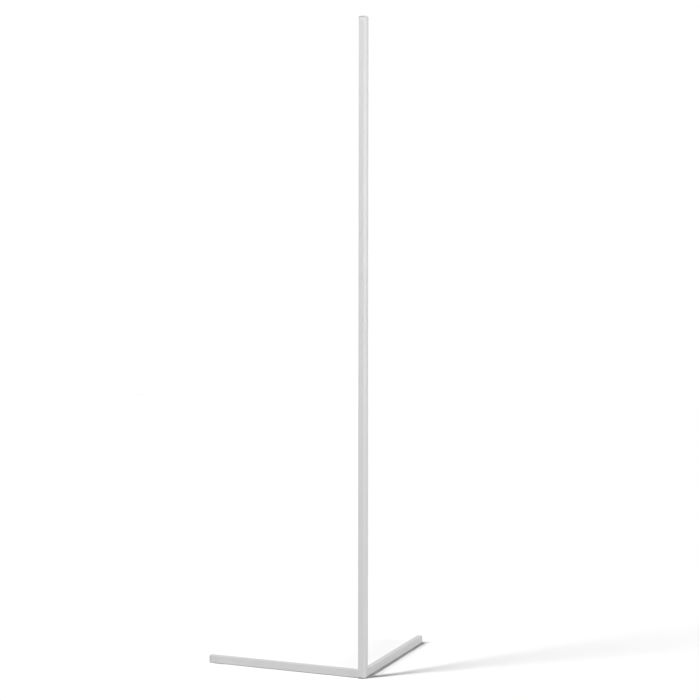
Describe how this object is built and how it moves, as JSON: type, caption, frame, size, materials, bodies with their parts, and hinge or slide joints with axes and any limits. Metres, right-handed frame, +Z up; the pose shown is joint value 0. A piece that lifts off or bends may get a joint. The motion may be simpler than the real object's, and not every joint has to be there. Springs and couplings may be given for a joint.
{
  "type": "corner floor lamp",
  "caption": "Slim free-standing corner floor lamp: an upright linear light in a square aluminium profile on a V-shaped base of two weighted legs, lighting towards the room's corner.",
  "frame": {"origin": "on the floor, on the axis of the pole, at the centre of the underside of the pole's foot", "axes": "+Z up along the pole; the left leg runs along -X and the right leg along +Y, and the light faces between them, towards -X +Y"},
  "size_m": [0.3724, 0.3724, 1.4],
  "materials": {
    "profile": "satin light grey, fine vertical extrusion grain",
    "base_metal": "satin light grey powder coat",
    "cast_block": "satin light grey powder coat on a casting",
    "cap_plastic": "fine-textured grey moulding",
    "milky_cover": "milky translucent, satin",
    "bright_steel": "zinc plated",
    "ballast_steel": "bare rolled bar",
    "dark_steel": "blackened",
    "joiner_metal": "bare extruded",
    "board": "white solder mask",
    "adhesive": "adhesive film",
    "chip_body": "white chip housing with a pale yellow window",
    "resistor_body": "black with tinned ends",
    "foot_rubber": "grey rubber",
    "pad_rubber": "black rubber",
    "inlet_plastic": "black moulding",
    "contact_brass": "bright",
    "red_wire": "wire insulation",
    "black_wire": "wire insulation"
  },
  "bodies": {
    "root": {"pole_lower": "profile", "pole_middle": "profile", "pole_upper": "profile", "lower_joiner": "joiner_metal", "upper_joiner": "joiner_metal", "clamp_screws": "dark_steel", "top_cap": "cap_plastic", "top_cap_screws": "bright_steel", "diffuser": "milky_cover", "led_strip": "board", "strip_tape": "adhesive", "led_chips": "chip_body", "strip_resistors": "resistor_body", "corner_block": "cast_block", "corner_screws": "bright_steel", "pole_foot": "foot_rubber", "left_leg": "base_metal", "right_leg": "base_metal", "leg_screws": "dark_steel", "left_ballast": "ballast_steel", "right_ballast": "ballast_steel", "ballast_screws": "dark_steel", "left_leg_cap": "cap_plastic", "right_leg_cap": "cap_plastic", "left_foot_pad": "pad_rubber", "right_foot_pad": "pad_rubber", "rear_housing": "cap_plastic", "dc_jack": "inlet_plastic", "jack_pin": "contact_brass", "jack_spring": "contact_brass", "red_lead": "red_wire", "black_lead": "black_wire"}
  },
  "joints": []
}
